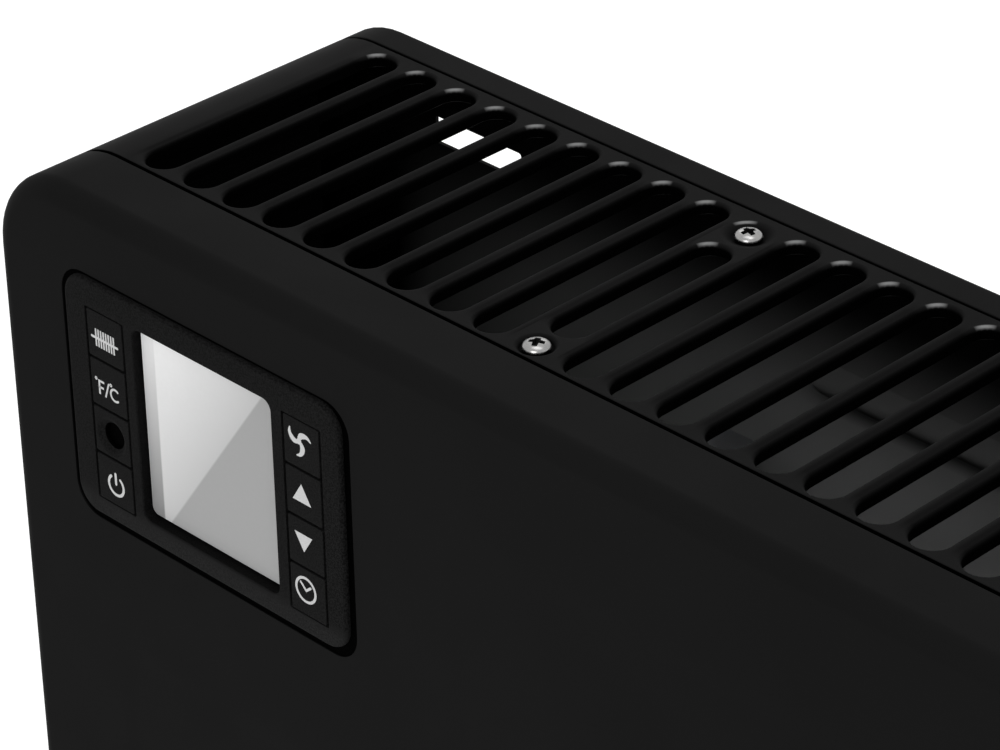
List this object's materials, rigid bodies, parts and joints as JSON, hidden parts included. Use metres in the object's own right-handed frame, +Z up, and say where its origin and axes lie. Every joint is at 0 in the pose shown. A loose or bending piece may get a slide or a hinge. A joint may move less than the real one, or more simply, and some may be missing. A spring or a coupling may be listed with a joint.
{
  "type": "convector heater",
  "caption": "Free-standing convector heater: flat rounded casing with a slotted top grille, a control panel with display and keys, inner heating elements, blower and two feet.",
  "frame": {"origin": "on the floor under the middle of the casing, at the centre of the box around the heater", "axes": "+X along the casing to the right as seen from the front, +Y from the front to the back, +Z up"},
  "size_m": [0.634, 0.21, 0.428],
  "materials": {
    "black_paint": "satin",
    "bezel_plastic": "matte",
    "lcd": "gloss",
    "circuit_board": "satin",
    "component_plastic": "satin",
    "bare_steel": "satin",
    "aluminium": "satin",
    "ceramic": "matte",
    "rubber": "matte",
    "brass": "satin",
    "screw_steel": "polished",
    "foot_plastic": "satin"
  },
  "bodies": {
    "heater": {"front_cover": "black_paint", "casing_wrap": "black_paint", "rear_cover": "black_paint", "bottom_panel": "black_paint", "panel_bezel": "bezel_plastic", "lcd_module": "lcd", "receiver_window": "bezel_plastic", "display_board": "circuit_board", "push_switches": "component_plastic", "element_front": "aluminium", "element_rear": "aluminium", "insulator_front_left": "ceramic", "insulator_front_right": "ceramic", "insulator_rear_left": "ceramic", "insulator_rear_right": "ceramic", "element_bracket_left": "bare_steel", "element_bracket_right": "bare_steel", "blower_scroll": "bare_steel", "blower_motor": "bare_steel", "blower_bush": "rubber", "partition": "bare_steel", "thermal_cutout": "ceramic", "power_board": "circuit_board", "relay_low": "component_plastic", "relay_high": "component_plastic", "terminal_block": "component_plastic", "transformer": "component_plastic", "tilt_bracket": "bare_steel", "tilt_switch": "component_plastic", "room_sensor": "component_plastic", "cord_inlet": "rubber", "foot_left": "foot_plastic", "foot_right": "foot_plastic", "pad_left_front": "rubber", "pad_left_back": "rubber", "pad_right_front": "rubber", "pad_right_back": "rubber", "foot_screw_left_front": "screw_steel", "foot_screw_left_back": "screw_steel", "foot_screw_right_front": "screw_steel", "foot_screw_right_back": "screw_steel", "grille_screw_1": "screw_steel", "grille_screw_2": "screw_steel", "grille_screw_3": "screw_steel", "grille_screw_4": "screw_steel", "grille_screw_5": "screw_steel", "grille_screw_6": "screw_steel"},
    "key_heat": {"key_heat": "bezel_plastic"},
    "key_unit": {"key_unit": "bezel_plastic"},
    "key_power": {"key_power": "bezel_plastic"},
    "key_fan": {"key_fan": "bezel_plastic"},
    "key_up": {"key_up": "bezel_plastic"},
    "key_down": {"key_down": "bezel_plastic"},
    "key_timer": {"key_timer": "bezel_plastic"},
    "blower_wheel": {"blower_wheel": "aluminium"},
    "tilt_pendulum": {"tilt_pendulum": "brass"}
  },
  "joints": [
    {"name": "key_heat_press", "type": "slide", "parent": "heater", "child": "key_heat", "axis": [0, 1, 0], "range_m": [0, 0.0006], "stiffness_N_per_m": 2500},
    {"name": "key_unit_press", "type": "slide", "parent": "heater", "child": "key_unit", "axis": [0, 1, 0], "range_m": [0, 0.0006], "stiffness_N_per_m": 2500},
    {"name": "key_power_press", "type": "slide", "parent": "heater", "child": "key_power", "axis": [0, 1, 0], "range_m": [0, 0.0006], "stiffness_N_per_m": 2500},
    {"name": "key_fan_press", "type": "slide", "parent": "heater", "child": "key_fan", "axis": [0, 1, 0], "range_m": [0, 0.0006], "stiffness_N_per_m": 2500},
    {"name": "key_up_press", "type": "slide", "parent": "heater", "child": "key_up", "axis": [0, 1, 0], "range_m": [0, 0.0006], "stiffness_N_per_m": 2500},
    {"name": "key_down_press", "type": "slide", "parent": "heater", "child": "key_down", "axis": [0, 1, 0], "range_m": [0, 0.0006], "stiffness_N_per_m": 2500},
    {"name": "key_timer_press", "type": "slide", "parent": "heater", "child": "key_timer", "axis": [0, 1, 0], "range_m": [0, 0.0006], "stiffness_N_per_m": 2500},
    {"name": "blower_spin", "type": "hinge", "parent": "heater", "child": "blower_wheel", "pos_m": [0.011, 0.005, 0.076], "axis": [1, 0, 0], "continuous": true},
    {"name": "tilt_swing", "type": "hinge", "parent": "heater", "child": "tilt_pendulum", "pos_m": [-0.257, 0.005, 0.092], "axis": [0, 1, 0], "range_deg": [-15, 15]}
  ]
}
